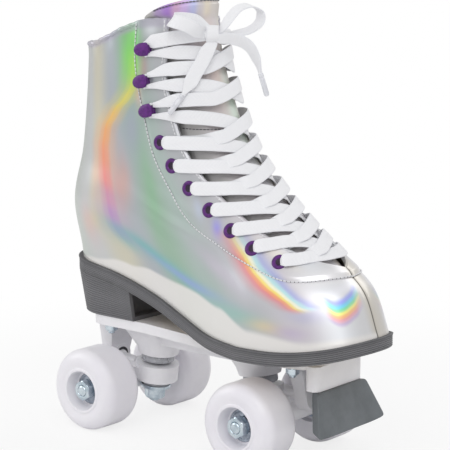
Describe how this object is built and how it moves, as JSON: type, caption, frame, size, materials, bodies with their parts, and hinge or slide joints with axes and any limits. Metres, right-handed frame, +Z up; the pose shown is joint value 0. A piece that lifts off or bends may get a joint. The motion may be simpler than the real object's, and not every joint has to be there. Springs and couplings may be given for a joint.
{
  "type": "quad roller skate",
  "caption": "High laced quad roller skate: foil boot with hooks, eyelets and a bow on a grooved heeled sole, bolted to a plate with sprung steering trucks, spinning wheels and a toe stop.",
  "frame": {"origin": "on the ground under the middle of the skate's length and width, where the wheels stand", "axes": "+X to the toe, +Y to the skate's left side, +Z up"},
  "size_m": [0.2692, 0.1124, 0.3043],
  "materials": {
    "foil_leather": "holographic silver foil on synthetic leather",
    "lining_cloth": "pale woven lining",
    "insole_board": "board covered in thin cloth",
    "sole_rubber": "grey moulded rubber with fine grooves",
    "purple_metal": "purple lacquer",
    "lace_cloth": "flat woven white lace",
    "aglet_plastic": "thin clear-white tip",
    "white_nylon": "white moulded nylon",
    "stop_rubber": "grey rubber",
    "cushion_rubber": "translucent pale grey urethane",
    "cup_rubber": "dark rubber",
    "wheel_urethane": "white cast urethane",
    "bearing_steel": "ground steel",
    "zinc_steel": "zinc plated"
  },
  "bodies": {
    "skate": {"upper_right": "foil_leather", "upper_left": "foil_leather", "eyestay_right": "foil_leather", "eyestay_left": "foil_leather", "backstay": "foil_leather", "quarter_lining": "lining_cloth", "tongue": "foil_leather", "insole": "insole_board", "outsole": "sole_rubber", "heel_block": "sole_rubber", "eyelets_right": "purple_metal", "eyelets_left": "purple_metal", "hooks_right": "purple_metal", "hooks_left": "purple_metal", "lacing": "lace_cloth", "lace_knot": "lace_cloth", "lace_loop_right": "lace_cloth", "lace_loop_left": "lace_cloth", "lace_tail_right": "lace_cloth", "lace_tail_left": "lace_cloth", "aglet_right": "aglet_plastic", "aglet_left": "aglet_plastic", "plate": "white_nylon", "mounting_bolts": "zinc_steel", "mounting_nuts": "zinc_steel", "toe_stop": "stop_rubber", "toe_stop_bolt": "zinc_steel", "kingpin_front": "zinc_steel", "kingpin_rear": "zinc_steel", "kingpin_nuts": "zinc_steel", "cup_washers": "zinc_steel", "upper_cushion_front": "cushion_rubber", "upper_cushion_rear": "cushion_rubber", "lower_cushion_front": "cushion_rubber", "lower_cushion_rear": "cushion_rubber", "pivot_cup_front": "cup_rubber", "pivot_cup_rear": "cup_rubber"},
    "front_truck": {"hanger_front": "white_nylon", "axle_front": "zinc_steel", "axle_nuts_front": "zinc_steel", "axle_washers_front": "zinc_steel", "axle_spacers_front": "zinc_steel", "inner_races_front": "bearing_steel"},
    "rear_truck": {"hanger_rear": "white_nylon", "axle_rear": "zinc_steel", "axle_nuts_rear": "zinc_steel", "axle_washers_rear": "zinc_steel", "axle_spacers_rear": "zinc_steel", "inner_races_rear": "bearing_steel"},
    "front_right_wheel": {"wheel_front_right": "wheel_urethane", "bearings_front_right": "bearing_steel"},
    "front_left_wheel": {"wheel_front_left": "wheel_urethane", "bearings_front_left": "bearing_steel"},
    "rear_right_wheel": {"wheel_rear_right": "wheel_urethane", "bearings_rear_right": "bearing_steel"},
    "rear_left_wheel": {"wheel_rear_left": "wheel_urethane", "bearings_rear_left": "bearing_steel"}
  },
  "joints": [
    {"name": "front_truck_steer", "type": "hinge", "parent": "skate", "child": "front_truck", "pos_m": [0.0305, 0, 0.037], "axis": [0.9921, 0, 0.1253], "range_deg": [-8, 8], "stiffness_Nm_per_rad": 15},
    {"name": "rear_truck_steer", "type": "hinge", "parent": "skate", "child": "rear_truck", "pos_m": [-0.0665, 0, 0.037], "axis": [0.9921, 0, -0.1253], "range_deg": [-8, 8], "stiffness_Nm_per_rad": 15},
    {"name": "front_right_wheel_spin", "type": "hinge", "parent": "front_truck", "child": "front_right_wheel", "pos_m": [0.052, -0.03975, 0.029], "axis": [0, 1, 0], "continuous": true},
    {"name": "front_left_wheel_spin", "type": "hinge", "parent": "front_truck", "child": "front_left_wheel", "pos_m": [0.052, 0.03975, 0.029], "axis": [0, 1, 0], "continuous": true},
    {"name": "rear_right_wheel_spin", "type": "hinge", "parent": "rear_truck", "child": "rear_right_wheel", "pos_m": [-0.088, -0.03975, 0.029], "axis": [0, 1, 0], "continuous": true},
    {"name": "rear_left_wheel_spin", "type": "hinge", "parent": "rear_truck", "child": "rear_left_wheel", "pos_m": [-0.088, 0.03975, 0.029], "axis": [0, 1, 0], "continuous": true}
  ]
}
